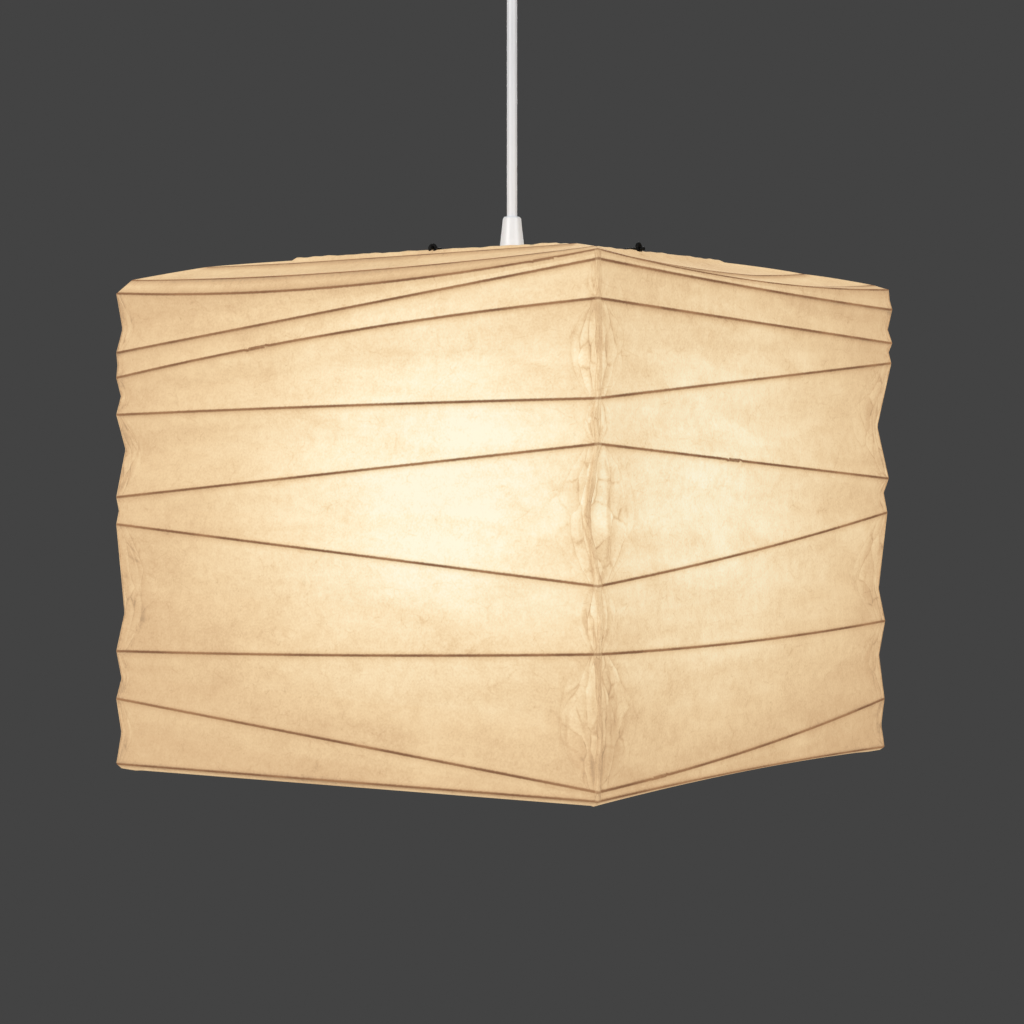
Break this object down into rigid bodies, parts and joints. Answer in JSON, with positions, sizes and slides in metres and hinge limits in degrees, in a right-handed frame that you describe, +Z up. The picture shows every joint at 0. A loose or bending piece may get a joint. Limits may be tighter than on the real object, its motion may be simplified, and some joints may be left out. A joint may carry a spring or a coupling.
{
  "type": "paper ceiling lamp",
  "caption": "Square box lantern of aged paper over uneven bamboo hoops on a black wire frame, hung by a round white cord from a hook under a cup-shaped ceiling canopy.",
  "frame": {"origin": "middle of the ceiling bracket's top face, between its two screw holes", "axes": "+Z up to the ceiling; the shade's sides face +X, -X, +Y and -Y; the bracket runs along X"},
  "size_m": [0.4387, 0.4387, 0.6904],
  "materials": {
    "white_plastic": "satin",
    "white_cord": "satin",
    "black_wire": "satin",
    "zinc_steel": "satin",
    "brass": "satin",
    "porcelain": "matte",
    "cap_metal": "satin",
    "opal_glass": "matte",
    "bamboo": "matte",
    "aged_paper": "matte"
  },
  "bodies": {
    "ceiling": {"ceiling_bracket": "zinc_steel", "ceiling_hook": "zinc_steel"},
    "ring": {"suspension_ring": "zinc_steel"},
    "hanger": {"hanger_bail": "zinc_steel", "cord_hanger": "white_plastic", "cord_clamp_screws": "zinc_steel", "terminal_block": "white_plastic", "terminal_screws": "brass", "power_cord": "white_cord"},
    "canopy": {"canopy_cup": "white_plastic", "canopy_grip_screw": "zinc_steel"},
    "lamp": {"strain_relief": "white_plastic", "holder_cap": "white_plastic", "holder_body": "white_plastic", "holder_ceramic": "porcelain", "holder_screw_shell": "brass", "holder_centre_contact": "brass", "clamp_ring_upper": "white_plastic", "clamp_ring_lower": "white_plastic", "frame_hub": "black_wire", "frame_arm_front": "black_wire", "frame_arm_right": "black_wire", "frame_arm_back": "black_wire", "frame_arm_left": "black_wire", "frame_leg_front": "black_wire", "frame_leg_right": "black_wire", "frame_leg_back": "black_wire", "frame_leg_left": "black_wire", "top_rim": "black_wire", "roof_rib_1": "bamboo", "roof_rib_2": "bamboo", "side_rib_1": "bamboo", "side_rib_2": "bamboo", "side_rib_3": "bamboo", "side_rib_4": "bamboo", "side_rib_5": "bamboo", "side_rib_6": "bamboo", "side_rib_7": "bamboo", "side_rib_8": "bamboo", "side_rib_9": "bamboo", "underside_rib": "bamboo", "rib_splices": "bamboo", "paper_panel_front": "aged_paper", "paper_panel_right": "aged_paper", "paper_panel_back": "aged_paper", "paper_panel_left": "aged_paper"},
    "lower_rim": {"lower_rim": "black_wire"},
    "bulb_tip": {"bulb_contact": "brass"},
    "bulb": {"bulb_globe": "opal_glass", "bulb_screw_cap": "cap_metal", "bulb_insulator": "porcelain"}
  },
  "joints": [
    {"name": "ring_swing", "type": "hinge", "parent": "ceiling", "child": "ring", "pos_m": [0, 0, -0.024], "axis": [1, 0, 0], "range_deg": [-6, 6]},
    {"name": "lamp_swing", "type": "hinge", "parent": "ring", "child": "hanger", "pos_m": [0, 0, -0.0354], "axis": [0, 1, 0], "range_deg": [-6, 6]},
    {"name": "cord_twist", "type": "hinge", "parent": "hanger", "child": "lamp", "pos_m": [0, 0, -0.281], "axis": [0, 0, 1], "range_deg": [-60, 60], "stiffness_Nm_per_rad": 0.01},
    {"name": "canopy_slide", "type": "slide", "parent": "hanger", "child": "canopy", "axis": [0, 0, -1], "range_m": [0, 0.17]},
    {"name": "shade_fold", "type": "slide", "parent": "lamp", "child": "lower_rim", "axis": [0, 0, 1], "range_m": [0, 0.332], "deforming": ["paper_panel_front", "paper_panel_right", "paper_panel_back", "paper_panel_left", "roof_rib_1", "roof_rib_2", "side_rib_1", "side_rib_2", "side_rib_3", "side_rib_4", "side_rib_5", "side_rib_6", "side_rib_7", "side_rib_8", "side_rib_9", "underside_rib", "rib_splices"]},
    {"name": "bulb_lower", "type": "slide", "parent": "lamp", "child": "bulb_tip", "axis": [0, 0, -1], "range_m": [0, 0.0182]},
    {"name": "bulb_turn", "type": "hinge", "parent": "bulb_tip", "child": "bulb", "pos_m": [0, 0, -0.344], "axis": [0, 0, -1], "range_deg": [0, 1800]}
  ],
  "couplings": [
    {"joint": "bulb_lower", "follows": "bulb_turn", "m_per_rad": 0.00057757}
  ]
}
